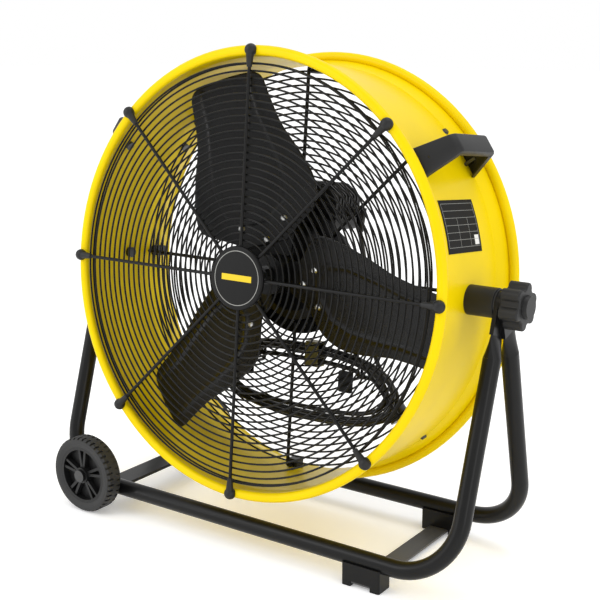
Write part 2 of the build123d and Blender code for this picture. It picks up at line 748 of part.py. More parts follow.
LEAD_ROUTE = [
    (72, 104, 66), (80, 104, 34), (92, 103.5, -6), (101.5, 102, -47), (109, 98, -88), (114, 91, -120),
    (119, 83, -141),
]
TAIL_ROUTE = [(96, 83, -138), (102, 94, -146), (110, 102, -155), (119, 106.5, -165), (128, 107, -175.5)]
save_on_drum(cord_tube(LEAD_ROUTE), "cord_lead")
save_on_drum(cord_tube(TAIL_ROUTE), "cord_tail")

# the wound-up length: one loop of the outer size of its turns
with BuildPart() as cord_hank:
    with BuildSketch(across(HANK_CENTRE[1])):
        with Locations((HANK_CENTRE[0], HANK_CENTRE[2])):
            Ellipse(180, 66)
            Ellipse(144, 32, mode=Mode.SUBTRACT)
    extrude(amount=-HANK_DEPTH)
save_on_drum(cord_hank.part, "cord_hank")

with BuildPart() as cord_tie:
    with BuildSketch(Plane.YZ.offset(4)):
        with Locations((HANK_CENTRE[1] + HANK_DEPTH / 2, HANK_CENTRE[2] + 49)):
            RectangleRounded(HANK_DEPTH + 5, 40, 3)
            RectangleRounded(HANK_DEPTH + 1, 36.5, 1, mode=Mode.SUBTRACT)
    extrude(amount=24)
save_on_drum(cord_tie.part, "cord_tie")

HOOK_X = 95.0
HOOK_Z = -161.5
with BuildPart() as cord_hooks:
    for side in (-1, 1):
        x = side * HOOK_X
        with BuildLine() as hook_path:
            FilletPolyline((x, 50.5, HOOK_Z), (x, 98, HOOK_Z), (x, 98, HOOK_Z + 26), radius=5)
        with BuildSketch(across(50.5)):
            with Locations((x, HOOK_Z)):
                Circle(2.5)
        sweep(path=hook_path.line)
        with BuildSketch(across(52)):
            with Locations((x, HOOK_Z)):
                RectangleRounded(26, 34, 4)
        extrude(amount=2)
save_on_drum(cord_hooks.part, "cord_hooks")

plug_start = Vector(*TAIL_ROUTE[-1])
plug_way = (Vector(*TAIL_ROUTE[-1]) - Vector(*TAIL_ROUTE[-2])).normalized()


def along_plug(distance):
    """A plane across the plug, a distance from where the cord enters it."""
    return Plane(origin=tuple(plug_start + plug_way * distance), x_dir=(0, 1, 0), z_dir=tuple(plug_way))


with BuildPart() as plug:
    with BuildSketch(along_plug(0)):
        Circle(4.6)
    with BuildSketch(along_plug(20)):
        Circle(7.5)
    loft()
    with BuildSketch(along_plug(20)):
        Circle(11)
    with BuildSketch(along_plug(36)):
        Circle(17)
    loft()
    with BuildSketch(along_plug(36)):
        Circle(17)
    extrude(amount=20)
    with BuildSketch(along_plug(57)):
        with Locations((-9.5, 0), (9.5, 0)):
            Circle(2.4)
    extrude(amount=-12, mode=Mode.SUBTRACT)
save_on_drum(plug.part, "plug")

with BuildPart() as plug_pins:
    with BuildSketch(along_plug(45.05)):
        with Locations((-9.5, 0), (9.5, 0)):
            Circle(2.38)
    extrude(amount=31)
    fillet(plug_pins.edges().filter_by(GeomType.CIRCLE).group_by(Axis.Z)[0], 1.2)
save_on_drum(plug_pins.part, "plug_pins")

# ---- tilt knobs ---------------------------------------------------------------------------------
with BuildPart() as tilt_knob:
    with BuildSketch(Plane.YZ.offset(KNOB_X)) as lobes:
        Circle(25)
        with PolarLocations(KNOB_RADIUS - 9, 6, start_angle=15):
            Circle(9)
        fillet(lobes.vertices(), 3)
    extrude(amount=27)
    fillet(tilt_knob.faces().sort_by(Axis.X)[-1].edges(), 2.5)
    with BuildSketch(Plane.YZ.offset(KNOB_X + 26)):
        Circle(17)
    extrude(amount=7, taper=12)
    with BuildSketch(Plane.YZ.offset(KNOB_X - 1)):
        Circle(BOLT_RADIUS + FIT)
    extrude(amount=25, mode=Mode.SUBTRACT)
for name, side in (("right_tilt_knob", 1), ("left_tilt_knob", -1)):
    knob = tilt_knob.part if side == 1 else tilt_knob.part.mirror(Plane.YZ)
    save(knob.moved(Location((0, 0, PIVOT_HEIGHT))), name)

# ---- stand --------------------------------------------------------------------------------------
rise = PIVOT_HEIGHT - RAIL_Z
LOOP_HEIGHT = sqrt(RAIL_Y**2 + rise**2)
FLATTEN_START = LOOP_HEIGHT - 76
FLATTEN_END = LOOP_HEIGHT - 44


def stand_loop(side, flat_x):
    """A U of tube leaning in to the pivot, with flattened ends. Side is -1 in front."""
    up = Vector(0, -side * RAIL_Y, rise).normalized()
    loop = Plane(origin=(0, side * RAIL_Y, RAIL_Z), x_dir=(1, 0, 0), z_dir=tuple(Vector(1, 0, 0).cross(up)))
    top_x = flat_x + FLAT_THICKNESS / 2
    start_x = LOOP_HALF_WIDTH + (top_x - LOOP_HALF_WIDTH) * FLATTEN_START / LOOP_HEIGHT
    ends = ((-start_x, FLATTEN_START), (-LOOP_HALF_WIDTH, 0), (LOOP_HALF_WIDTH, 0), (start_x, FLATTEN_START))
    with BuildPart() as tube:
        with BuildLine(loop) as centre_line:
            FilletPolyline(*ends, radius=BEND_RADIUS)
        first = Vector(centre_line.line @ 0)
        with BuildSketch(Plane(origin=tuple(first), z_dir=tuple(centre_line.line % 0))):
            Circle(TUBE_RADIUS)
            Circle(TUBE_RADIUS - TUBE_WALL, mode=Mode.SUBTRACT)
        sweep(path=centre_line.line)
    pieces = [tube.part]
    for end in (-1, 1):
        base = loop.from_local_coords(Vector(end * start_x, FLATTEN_START, 0))
        top = loop.from_local_coords(Vector(end * top_x, FLATTEN_END, 0))
        way = (top - base).normalized()
        with BuildPart() as neck:
            with BuildSketch(Plane(origin=tuple(base + way * 0.02), x_dir=tuple(loop.z_dir), z_dir=tuple(way))):
                Circle(TUBE_RADIUS)
            with BuildSketch(Plane(origin=tuple(top), x_dir=tuple(loop.z_dir), z_dir=tuple(up))):
                Ellipse(FLAT_WIDTH / 2, FLAT_THICKNESS / 2 - 0.05)
            loft()
        eye_plane = Plane(origin=(end * flat_x, 0, PIVOT_HEIGHT), x_dir=tuple(up), z_dir=(end, 0, 0))
        eye_length = LOOP_HEIGHT - FLATTEN_END - 0.02
        with BuildPart() as eye:
            with BuildSketch(eye_plane):
                with Locations((-eye_length / 2, 0)):
                    Rectangle(eye_length, FLAT_WIDTH)
                Circle(FLAT_WIDTH / 2)
                Circle(BOLT_RADIUS + FIT, mode=Mode.SUBTRACT)
            extrude(amount=FLAT_THICKNESS - 0.05)
        pieces += [neck.part, eye.part]
    return [piece.solid() for piece in pieces]


front_stand_loop = stand_loop(-1, FRONT_FLAT_X)
save(Compound(front_stand_loop), "front_stand_loop")
rear_stand_loop = stand_loop(1, REAR_FLAT_X)
save(Compound(rear_stand_loop), "rear_stand_loop")

# the feet wrap the underside of the rails, and a strap joins them across, between their lugs
STRAP_THICKNESS = 3.2
STRAP_TOP = 8.0
FOOT_WIDTH = 31.0
FOOT_HEIGHT = 34.0
foot_spots = [(FOOT_X, -RAIL_Y), (FOOT_X, RAIL_Y)]
with BuildPart() as foot_strap:
    with BuildSketch(Plane.XY.offset(STRAP_TOP - STRAP_THICKNESS)):
        with Locations((FOOT_X, 0)):
            Rectangle(STRAP_WIDTH, 2 * RAIL_Y + 28)
        with Locations(foot_spots):
            Circle(2.55, mode=Mode.SUBTRACT)
    extrude(amount=STRAP_THICKNESS)
save(foot_strap.part, "foot_strap")

with BuildPart() as stand_feet:
    with BuildSketch(Plane.XY):
        with Locations(foot_spots):
            RectangleRounded(FOOT_LENGTH, FOOT_WIDTH, 3)
    extrude(amount=FOOT_HEIGHT)
    with BuildSketch(Plane.YZ.offset(FOOT_X - FOOT_LENGTH)):
        for y in (-RAIL_Y, RAIL_Y):
            with Locations((y, RAIL_Z)):
                Circle(TUBE_RADIUS + 0.02)
                Rectangle(2 * TUBE_RADIUS + 0.04, 30, align=(Align.CENTER, Align.MIN))
    extrude(amount=2 * FOOT_LENGTH, mode=Mode.SUBTRACT)
    with BuildSketch(Plane.XY):
        with Locations((FOOT_X, 0)):
            Rectangle(STRAP_WIDTH + 0.4, 400)
    extrude(amount=STRAP_TOP + 0.02, mode=Mode.SUBTRACT)
    with BuildSketch(Plane.XY):
        with Locations(foot_spots):
            Circle(2.55)
    extrude(amount=30, mode=Mode.SUBTRACT)
save(stand_feet.part, "stand_feet")

with BuildPart() as foot_screws:
    with BuildSketch(Plane.XY.offset(STRAP_TOP - STRAP_THICKNESS - 0.02)):
        with Locations(foot_spots):
            Circle(5)
    extrude(amount=-3, taper=20)
    with BuildSketch(Plane.XY.offset(STRAP_TOP - STRAP_THICKNESS - 0.02)):
        with Locations(foot_spots):
            Circle(2.45)
    extrude(amount=20)
save(foot_screws.part, "foot_screws")

with BuildPart() as wheel_crossbar:
    with BuildSketch(Plane.XY.offset(RAIL_Z - 1)):
        with Locations((CROSSBAR_X, 0)):
            Rectangle(40, 2 * RAIL_Y)
    extrude(amount=5)
    for side in (-1, 1):
        with BuildSketch(Plane.YZ.offset(CROSSBAR_X - 50)):
            with Locations((side * RAIL_Y, RAIL_Z)):
                Circle(TUBE_RADIUS + 0.02)
        extrude(amount=100, mode=Mode.SUBTRACT)
crossbar_only = wheel_crossbar.part.solids().sort_by(SortBy.VOLUME)[-1]
both_loops = [front_stand_loop[0], rear_stand_loop[0]]
crossbar_cut = Part() + crossbar_only - both_loops
save(crossbar_cut, "wheel_crossbar")

# gussets on the rails that carry the wheels' stub axles
with BuildPart() as gusset_pair:
    for side in (-1, 1):
        gusset = Plane(origin=(WHEEL_X, side * (RAIL_Y + 2.5), WHEEL_RADIUS), x_dir=(1, 0, 0), z_dir=(0, -1, 0))
        with BuildSketch(gusset):
            Circle(14)
            with Locations((0, -14)):
                Trapezoid(60, 24, 68)
        extrude(amount=-5 * side)
        boss_start = side * (RAIL_Y + 2.5)
        with BuildSketch(Plane.XZ.offset(-boss_start)):
            with Locations((WHEEL_X, WHEEL_RADIUS)):
                Circle(9)
        extrude(amount=-side * (WHEEL_INNER_Y - 0.3 - RAIL_Y - 2.5))
        with BuildSketch(Plane.XZ.offset(-side * 100)):
            with Locations((WHEEL_X, WHEEL_RADIUS)):
                Circle(AXLE_RADIUS + 0.02)
        extrude(amount=-side * 40, mode=Mode.SUBTRACT)
wheel_brackets = gusset_pair.part - both_loops
bracket_solids = [s for s in wheel_brackets.solids() if s.bounding_box().max.Z > WHEEL_RADIUS]
save(Part() + bracket_solids, "wheel_brackets")

with BuildPart() as wheel_axles:
    for side in (-1, 1):
        for y, length, radius in ((110, 53, AXLE_RADIUS), (162.0, 4, 10)):
            with BuildSketch(Plane.XZ.offset(-side * y)):
                with Locations((WHEEL_X, WHEEL_RADIUS)):
                    Circle(radius)
            extrude(amount=-side * length)
save(wheel_axles.part, "wheel_axles")

with BuildPart() as axle_nuts:
    for side in (-1, 1):
        with BuildSketch(Plane.XZ.offset(-side * (RAIL_Y + 2.48))):
            with Locations((WHEEL_X, WHEEL_RADIUS)):
                RegularPolygon(10.5, 6)
                Circle(AXLE_RADIUS + 0.02, mode=Mode.SUBTRACT)
        extrude(amount=side * 8)
save(axle_nuts.part, "axle_nuts")

# ---- wheels -------------------------------------------------------------------------------------
RIM_RADIUS = 47.0
for name, side in (("front", -1), ("rear", 1)):
    # drawn at the origin with the outer face towards -Y, then turned for the rear side
    with BuildPart() as tyre:
        with BuildSketch(Plane.XY):
            with BuildLine():
                Polyline(
                    (RIM_RADIUS + 0.02, -13), (54, -15), (WHEEL_RADIUS - 3, -15), (WHEEL_RADIUS, -11),
                    (WHEEL_RADIUS, 11), (WHEEL_RADIUS - 3, 15), (54, 15), (RIM_RADIUS + 0.02, 13),
                    close=True,
                )
            make_face()
        revolve(axis=Axis.Y)
        with BuildSketch(across(15)):
            with PolarLocations(WHEEL_RADIUS, 40):
                Rectangle(5, 3.4)
        extrude(amount=11, mode=Mode.SUBTRACT)
        with BuildSketch(across(-4)):
            with PolarLocations(WHEEL_RADIUS, 40, start_angle=4.5):
                Rectangle(5, 3.4)
        extrude(amount=11, mode=Mode.SUBTRACT)
    with BuildPart() as rim:
        with BuildSketch(across(12.9)):
            Circle(RIM_RADIUS)
            Circle(RIM_RADIUS - 5, mode=Mode.SUBTRACT)
        extrude(amount=25.8)
        with BuildSketch(across(15)):
            Circle(13)
        extrude(amount=30)
        with BuildSketch(across(2)):
            Circle(RIM_RADIUS - 3)
        extrude(amount=3)
        with BuildSketch(across(2)):
            for turn in range(5):
                for lean in (-9, 9):
                    with Locations(Location((0, 0, 0), (0, 0, 90 + 72 * turn + lean))):
                        with Locations((27, 0)):
                            Rectangle(38, 4.5)
        extrude(amount=13)
        with BuildSketch(across(20)):
            Circle(AXLE_RADIUS + FIT)
        extrude(amount=40, mode=Mode.SUBTRACT)
    place = Location(
        (WHEEL_X, side * (WHEEL_INNER_Y + WHEEL_WIDTH / 2), WHEEL_RADIUS), (0, 0, 0 if side < 0 else 180)
    )
    save(tyre.part.moved(place), f"{name}_tyre")
    save(rim.part.moved(place), f"{name}_wheel")
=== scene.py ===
import json
import math

import bmesh
import bpy
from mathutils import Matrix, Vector


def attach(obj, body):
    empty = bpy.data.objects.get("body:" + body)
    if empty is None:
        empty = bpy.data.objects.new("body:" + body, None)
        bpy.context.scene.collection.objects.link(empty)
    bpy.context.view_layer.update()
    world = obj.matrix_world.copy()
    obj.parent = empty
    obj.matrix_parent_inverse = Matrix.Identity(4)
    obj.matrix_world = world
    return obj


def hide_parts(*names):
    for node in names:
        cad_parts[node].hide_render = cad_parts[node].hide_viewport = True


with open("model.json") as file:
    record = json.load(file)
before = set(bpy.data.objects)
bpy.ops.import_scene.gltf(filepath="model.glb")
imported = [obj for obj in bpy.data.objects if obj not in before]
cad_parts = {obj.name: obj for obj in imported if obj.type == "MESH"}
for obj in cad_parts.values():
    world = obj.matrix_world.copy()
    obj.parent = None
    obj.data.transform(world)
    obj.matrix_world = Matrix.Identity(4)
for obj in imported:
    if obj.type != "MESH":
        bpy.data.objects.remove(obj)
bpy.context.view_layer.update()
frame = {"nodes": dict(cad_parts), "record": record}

nodes = frame["nodes"]

# ---- the drum's own frame: level, about the pivot, in millimetres ---------------------------------
PIVOT_HEIGHT = 404.0
TILT = math.radians(5.4)


def drum(x, y, z):
    """A point of the level drum, in metres where it stands."""
    c, s = math.cos(TILT), math.sin(TILT)
    return Vector((x, c * y + s * z, PIVOT_HEIGHT - s * y + c * z)) / 1000


def around(radius, angle, y):
    """A point of the level drum by its distance and angle from the axis."""
    a = math.radians(angle)
    return drum(radius * math.cos(a), y, radius * math.sin(a))


# ---- camera ---------------------------------------------------------------------------------------
LOOKING_DOWN = 12.73  # degrees
TURNED_LEFT = 35.06
camera = bpy.data.objects.new("camera", bpy.data.cameras.new("camera"))
bpy.context.scene.collection.objects.link(camera)
camera.location = (0.99725, -1.37184, 0.74479)
camera.rotation_euler = (math.radians(90 - LOOKING_DOWN), 0, math.radians(TURNED_LEFT))
camera.data.lens = 67.86
camera.data.sensor_width = 36
bpy.context.scene.camera = camera
bpy.context.scene.view_settings.view_transform = "Standard"


# ---- materials ------------------------------------------------------------------------------------
BROAD_SCALE = 14.0
GLOSS_SPREAD = 0.07
GRAIN_DEPTH = 0.0004  # metres


def finish(name, color, rough, metal=0.0, grain=400.0, bump=0.05, vary=0.12, specular=0.5):
    """A painted, moulded or plated surface: uneven colour, mottled gloss and a fine grain."""
    m = bpy.data.materials.new(name)
    m.use_nodes = True
    t = m.node_tree
    t.nodes.clear()
    new = t.nodes.new
    out = new("ShaderNodeOutputMaterial")
    shader = new("ShaderNodeBsdfPrincipled")
    t.links.new(shader.outputs["BSDF"], out.inputs["Surface"])
    shader.inputs["Metallic"].default_value = metal
    shader.inputs["Specular IOR Level"].default_value = specular
    where = new("ShaderNodeTexCoord")
    broad = new("ShaderNodeTexNoise")
    broad.inputs["Scale"].default_value = BROAD_SCALE
    broad.inputs["Detail"].default_value = 4.0
    t.links.new(where.outputs["Object"], broad.inputs["Vector"])
    tint = new("ShaderNodeValToRGB")
    tint.color_ramp.elements[0].position = 0.3
    tint.color_ramp.elements[1].position = 0.7
    tint.color_ramp.elements[0].color = (*[c * (1 - vary) for c in color], 1)
    tint.color_ramp.elements[1].color = (*[min(1, c * (1 + vary)) for c in color], 1)
    t.links.new(broad.outputs["Fac"], tint.inputs["Fac"])
    t.links.new(tint.outputs["Color"], shader.inputs["Base Color"])
    sheen = new("ShaderNodeMapRange")
    sheen.inputs["To Min"].default_value = max(0.03, rough - GLOSS_SPREAD)
    sheen.inputs["To Max"].default_value = min(1.0, rough + GLOSS_SPREAD)
    t.links.new(broad.outputs["Fac"], sheen.inputs["Value"])
    t.links.new(sheen.outputs["Result"], shader.inputs["Roughness"])
    fine = new("ShaderNodeTexNoise")
    fine.inputs["Scale"].default_value = grain
    fine.inputs["Detail"].default_value = 2.0
    t.links.new(where.outputs["Object"], fine.inputs["Vector"])
    relief = new("ShaderNodeBump")
    relief.inputs["Strength"].default_value = bump
    relief.inputs["Distance"].default_value = GRAIN_DEPTH
    t.links.new(fine.outputs["Fac"], relief.inputs["Height"])
    t.links.new(relief.outputs["Normal"], shader.inputs["Normal"])
    return m


def grey(value):
    return (value, value, value)


yellow = finish("yellow_paint", (0.77, 0.56, 0.0), 0.34, grain=260, bump=0.10, vary=0.04, specular=0.1)
black = finish("black_paint", grey(0.0045), 0.32, grain=700, bump=0.12, vary=0.2, specular=0.2)
blade_paint = finish("blade_paint", grey(0.004), 0.27, grain=600, bump=0.08, vary=0.2, specular=0.3)
wire = finish("black_wire", grey(0.003), 0.4, grain=900, bump=0.10, vary=0.2, specular=0.2)
strap_paint = finish("strap_paint", grey(0.045), 0.42, grain=300, bump=0.15, vary=0.2)
plastic = finish("black_plastic", grey(0.006), 0.46, grain=1300, bump=0.3, vary=0.2, specular=0.35)
rubber = finish("rubber", grey(0.014), 0.62, grain=900, bump=0.3, vary=0.25)
tyre_rubber = finish("tyre_rubber", grey(0.012), 0.6, grain=1500, bump=0.4, vary=0.25)
jacket = finish("cord_jacket", grey(0.008), 0.38, grain=700, bump=0.2, vary=0.2)
zinc = finish("zinc", (0.72, 0.72, 0.70), 0.28, metal=1.0, grain=500, bump=0.1, vary=0.1)
dark_zinc = finish("dark_zinc", grey(0.08), 0.3, metal=1.0, grain=500, bump=0.15, vary=0.2)
brass = finish("brass", (0.75, 0.55, 0.25), 0.22, metal=1.0, grain=400, bump=0.1)
alloy = finish("alloy", (0.32, 0.32, 0.31), 0.42, metal=1.0, grain=500, bump=0.2)
iron = finish("laminations", grey(0.25), 0.5, metal=1.0, grain=900, bump=0.4)
copper = finish("copper", (0.55, 0.22, 0.08), 0.35, metal=1.0, grain=900, bump=0.5)
tie_plastic = finish("tie", (0.16, 0.13, 0.02), 0.45, grain=300, bump=0.3)
badge_face = finish("badge", grey(0.005), 0.35, grain=300, bump=0.05, vary=0.2, specular=0.15)
plate_film = finish("plate", grey(0.004), 0.5, grain=500, bump=0.08, vary=0.15, specular=0.1)
print_light = finish("plate_print", (0.30, 0.30, 0.28), 0.5, grain=500, vary=0.1, specular=0.2)
print_yellow = finish("badge_yellow", (0.70, 0.50, 0.02), 0.45, grain=500, vary=0.05, specular=0.2)
print_white = finish("plate_white", (0.75, 0.75, 0.72), 0.5, grain=500, vary=0.05)

BY_SLOT = {
    "yellow_paint": yellow, "black_paint": black, "black_wire": wire, "grey_strap": strap_paint,
    "black_plastic": plastic, "badge": badge_face, "plate": plate_film,
    "rubber": rubber, "tyre": tyre_rubber, "cord": jacket, "zinc": dark_zinc, "brass": brass,
    "alloy": alloy, "laminations": iron, "copper": copper, "tie": tie_plastic,
}
slot_of = {s["node"]: s["material_slot"] for s in frame["record"]["subparts"]}
for name, obj in nodes.items():
    obj.data.materials.clear()
    obj.data.materials.append(BY_SLOT[slot_of[name]])
nodes["blade_rivets"].data.materials[0] = zinc  # brighter than the black zinc of the screws


def closed_mesh(name, bm):
    """The finished mesh of a closed shape, its faces turned outwards."""
    bmesh.ops.recalc_face_normals(bm, faces=bm.faces)
    mesh = bpy.data.meshes.new(name)
    bm.to_mesh(mesh)
    bm.free()
    return mesh


def bridge(bm, here, after):
    """A wall of four-sided faces from one loop of points to the next."""
    n = len(here)
    for k in range(n):
        bm.faces.new([here[k], here[(k + 1) % n], after[(k + 1) % n], after[k]])


def piece(name, mesh, material, body, stands_for=(), smooth=True):
    obj = bpy.data.objects.new(name, mesh)
    bpy.context.scene.collection.objects.link(obj)
    mesh.materials.append(material)
    if smooth:
        for p in mesh.polygons:
            p.use_smooth = True
    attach(obj, body)
    if stands_for:
        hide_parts(*stands_for)
    return obj


# ---- power cord -----------------------------------------------------------------------------------
CORD_DIAMETER = 0.0075
LEAD = [
    (72, 104, 66), (80, 104, 34), (92, 103.5, -6), (101.5, 102, -47), (109, 99, -88), (113.5, 98, -113),
    (123, 97, -136), (137, 95, -152), (153, 94, -164), (166, 92, -177),
]
TAIL = [(99, 79.5, -155.5), (106, 84.5, -157.5), (112.5, 94, -159), (119, 103.5, -165), (128, 107, -175.5)]
# the turns hang from the hooks: half width, half height, squareness, place along the drum
TURNS = [(173, 60, 2.5, 85.8), (161.5, 50.5, 2.6, 85.8), (167, 55, 2.6, 77), (152, 39.5, 2.7, 77)]
HANK_CENTRE = -182  # above the pivot
STEPS = 20  # points in a turn
RUN_OVER = 5  # points over which a turn moves to the next one
LAST_TURN = 300  # degrees of the last turn


def on_turn(turn, angle):
    """A point of a turn, which is a rounded box about the hank's centre."""
    half_width, half_height, square, y = turn
    a = math.radians(angle)
    c, s = math.cos(a), math.sin(a)
    return Vector((
        half_width * math.copysign(abs(c) ** (2 / square), c), y,
        HANK_CENTRE + half_height * math.copysign(abs(s) ** (2 / square), s),
    ))


route = [Vector(p) for p in LEAD]
whole_turns = len(TURNS) - 1
for i in range(1, whole_turns * STEPS + round(STEPS * LAST_TURN / 360) + 1):
    angle = -360 * i / STEPS
    k = min(whole_turns, (i - 1) // STEPS)
    here = on_turn(TURNS[k], angle)
    left = (k + 1) * STEPS - i
    if k < whole_turns and left < RUN_OVER:
        here = here.lerp(on_turn(TURNS[k + 1], angle), (RUN_OVER - left) / (RUN_OVER + 1))
    route.append(here)
route += [Vector(p) for p in TAIL]

curve = bpy.data.curves.new("power_cord", "CURVE")
curve.dimensions = "3D"
line = curve.splines.new("NURBS")
line.points.add(len(route) - 1)
for point, spot in zip(line.points, route):
    point.co = (*drum(*spot), 1)
line.order_u = 3
line.use_endpoint_u = True
line.resolution_u = 5
curve.bevel_depth = CORD_DIAMETER / 2
curve.bevel_resolution = 3
curve.use_fill_caps = True
curve.materials.append(jacket)
cord = bpy.data.objects.new("power_cord", curve)
bpy.context.scene.collection.objects.link(cord)
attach(cord, "drum")
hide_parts("cord_lead", "cord_hank", "cord_tail")


# ---- impeller blades: pressed sheet with a raised rib all round ------------------------------------
# u runs out along the blade and v across it; "forward" is towards the front grille
BLADES = {"blade_1": 110, "blade_2": -10, "blade_3": -130}
ROOT = 46
TIP_RADIUS = 307
TIP_HALF_WIDTH = 57
TIP_CORNER = 15  # how far the corners of the tip are rounded back
CORNER_START = 0.74  # of the half width
SHEET = 1.9  # thickness
RIB_HEIGHT, RIB_WIDTH = 2.2, 3.8
LEADING = [(46, 26), (62, 50), (86, 84), (125, 87), (170, 78), (215, 65), (255, 60), (311, 57)]
TRAILING = [(46, -26), (62, -46), (86, -76), (125, -86), (170, -78), (215, -65), (255, -60), (311, -57)]
RIB = [(292, 38), (240, 39), (190, 47), (140, 52), (104, 44), (84, 14), (84, -14), (104, -44), (140, -52),
       (190, -47), (240, -39), (292, -38)]


def smooth_edge(points, u):
    """Height of an outline at u, through its points (Catmull-Rom)."""
    for i in range(len(points) - 1):
        if points[i][0] <= u <= points[i + 1][0] or i == len(points) - 2:
            p = [points[max(0, i - 1)], points[i], points[i + 1], points[min(len(points) - 1, i + 2)]]
            t = (u - p[1][0]) / (p[2][0] - p[1][0])
            m1 = (p[2][1] - p[0][1]) / (p[2][0] - p[0][0]) * (p[2][0] - p[1][0])
            m2 = (p[3][1] - p[1][1]) / (p[3][0] - p[1][0]) * (p[2][0] - p[1][0])
            return ((2 * t**3 - 3 * t**2 + 1) * p[1][1] + (t**3 - 2 * t**2 + t) * m1
                    + (3 * t**2 - 2 * t**3) * p[2][1] + (t**3 - t**2) * m2)
    return points[-1][1]


def to_rib(u, v):
    """Distance to the rib's centre line."""
    best = 1e9
    for (ax, ay), (bx, by) in zip(RIB, RIB[1:]):
        dx, dy = bx - ax, by - ay
        t = max(0.0, min(1.0, ((u - ax) * dx + (v - ay) * dy) / (dx * dx + dy * dy)))
        best = min(best, math.hypot(u - ax - t * dx, v - ay - t * dy))
    return best


def blade_surface(u, v):
    """How far forward the middle of the sheet is: it twists less towards the tip."""
    outward = (u - 80) / (TIP_RADIUS - 80)
    forward = 18 + 12 * outward
    slope = 0.5 - 0.22 * outward
    lift = RIB_HEIGHT * math.exp(-((to_rib(u, v) / RIB_WIDTH) ** 2))
    return forward + slope * v + lift


def tip_at(q):
    """Where the blade ends, for q from -1 at the trailing edge to 1 at the leading one."""
    tip = math.sqrt(TIP_RADIUS**2 - (TIP_HALF_WIDTH * q) ** 2)
    corner = max(0.0, abs(q) - CORNER_START) / (1 - CORNER_START)
    return tip - TIP_CORNER * (1 - math.sqrt(max(0.0, 1 - corner**2)))


def blade_mesh(name, turn):
    a = math.radians(turn)
    bm = bmesh.new()
    rows, columns = 96, 60
    sides = []
    for face in (1, -1):
        grid = []
        for i in range(rows + 1):
            row = []
            for j in range(columns + 1):
                q = j / columns * 2 - 1
                u = ROOT + (tip_at(q) - ROOT) * i / rows
                half = smooth_edge(LEADING, u) if q > 0 else -smooth_edge(TRAILING, u)
                v = half * q
                depth = blade_surface(u, v) + face * SHEET / 2
                x = u * math.cos(a) - v * math.sin(a)
                z = u * math.sin(a) + v * math.cos(a)
                row.append(bm.verts.new(drum(x, -depth, z)))
            grid.append(row)
        sides.append(grid)
        for i in range(rows):
            for j in range(columns):
                quad = [grid[i][j], grid[i][j + 1], grid[i + 1][j + 1], grid[i + 1][j]]
                bm.faces.new(quad if face == 1 else quad[::-1])
    front, back = sides
    rim = [(0, j) for j in range(columns + 1)] + [(i, columns) for i in range(1, rows + 1)]
    rim += [(rows, j) for j in range(columns - 1, -1, -1)] + [(i, 0) for i in range(rows - 1, 0, -1)]
    for (i, j), (k, m) in zip(rim, rim[1:] + rim[:1]):
        bm.faces.new([front[k][m], front[i][j], back[i][j], back[k][m]])
    return closed_mesh(name, bm)


for name, turn in BLADES.items():
    piece("pressed_" + name, blade_mesh(name, turn), blade_paint, "impeller", [name])


# ---- carry handles: a moulded channel, open on the barrel's side ------------------------------------
# the middle of the grip's outer face: place along the drum, distance from the axis
HANDLE_PATH = [(-76.6, 320.4), (-74, 328), (-51, 375.6), (51, 375.6), (74, 328), (76.6, 320.4)]
HANDLE_BEND = 13
HANDLE_DEPTH = 11.0
HANDLE_WALL = 2.6
ON_BARREL = 320.1  # no point of a handle is closer to the axis
FOOT_WIDTH, GRIP_NARROWING, GRIP_RISE = 43.5, 14.5, 56


def turned(vector, angle):
    c, s = math.cos(angle), math.sin(angle)
    return Vector((vector.x * c - vector.y * s, vector.x * s + vector.y * c))


def rounded_path(corners, radius, steps=8):
    """A polyline with round corners, as (point, direction)."""
    out = []
    for k, here in enumerate(corners):
        if k in (0, len(corners) - 1):
            to = corners[1] - corners[0] if k == 0 else corners[-1] - corners[-2]
            out.append((here, to.normalized()))
            continue
        a, b = (here - corners[k - 1]).normalized(), (corners[k + 1] - here).normalized()
        turn = a.angle_signed(b)
        reach = radius * math.tan(abs(turn) / 2)
        start = here - a * reach
        middle = start + Vector((-a.y, a.x)) * radius * (-1 if turn > 0 else 1)
        for m in range(steps + 1):
            q = -turn * m / steps
            out.append((middle + turned(start - middle, q), turned(a, q)))
    return out


def channel(width):
    """The grip's section: across the handle, and up from its outer face."""
    h, t, w = width / 2, HANDLE_DEPTH, HANDLE_WALL
    outer = [(-h, -t), (-h, -3.4), (-h + 0.9, -1.2), (-h + 3.2, 0)]
    outer += [(-across, up) for across, up in reversed(outer)]
    return outer + [(h - w, -t), (h - w, -3.6), (-h + w, -3.6), (-h + w, -t)]


def handle_mesh(name, angle):
    a = math.radians(angle)
    bm = bmesh.new()
    loops = []
    for spot, way in rounded_path([Vector(p) for p in HANDLE_PATH], HANDLE_BEND):
        out = Vector((-way.y, way.x))
        if out.y < 0 and abs(way.x) > 0.5:
            out = -out
        width = FOOT_WIDTH - (spot.y - 320) / GRIP_RISE * GRIP_NARROWING
        loop = []
        for across, up in channel(width):
            y, r = spot.x + out.x * up, max(ON_BARREL, spot.y + out.y * up)
            loop.append(bm.verts.new(drum(
                r * math.cos(a) - across * math.sin(a), y, r * math.sin(a) + across * math.cos(a))))
        loops.append(loop)
    for here, after in zip(loops, loops[1:]):
        bridge(bm, here, after)
    bm.faces.new(loops[0][::-1])
    bm.faces.new(loops[-1])
    return closed_mesh(name, bm)


for name, angle in (("right_carry_handle", 34.5), ("left_carry_handle", 145.5)):
    obj = piece("moulded_" + name, handle_mesh(name, angle), plastic, "drum", [name])
    obj.data.set_sharp_from_angle(angle=math.radians(40))


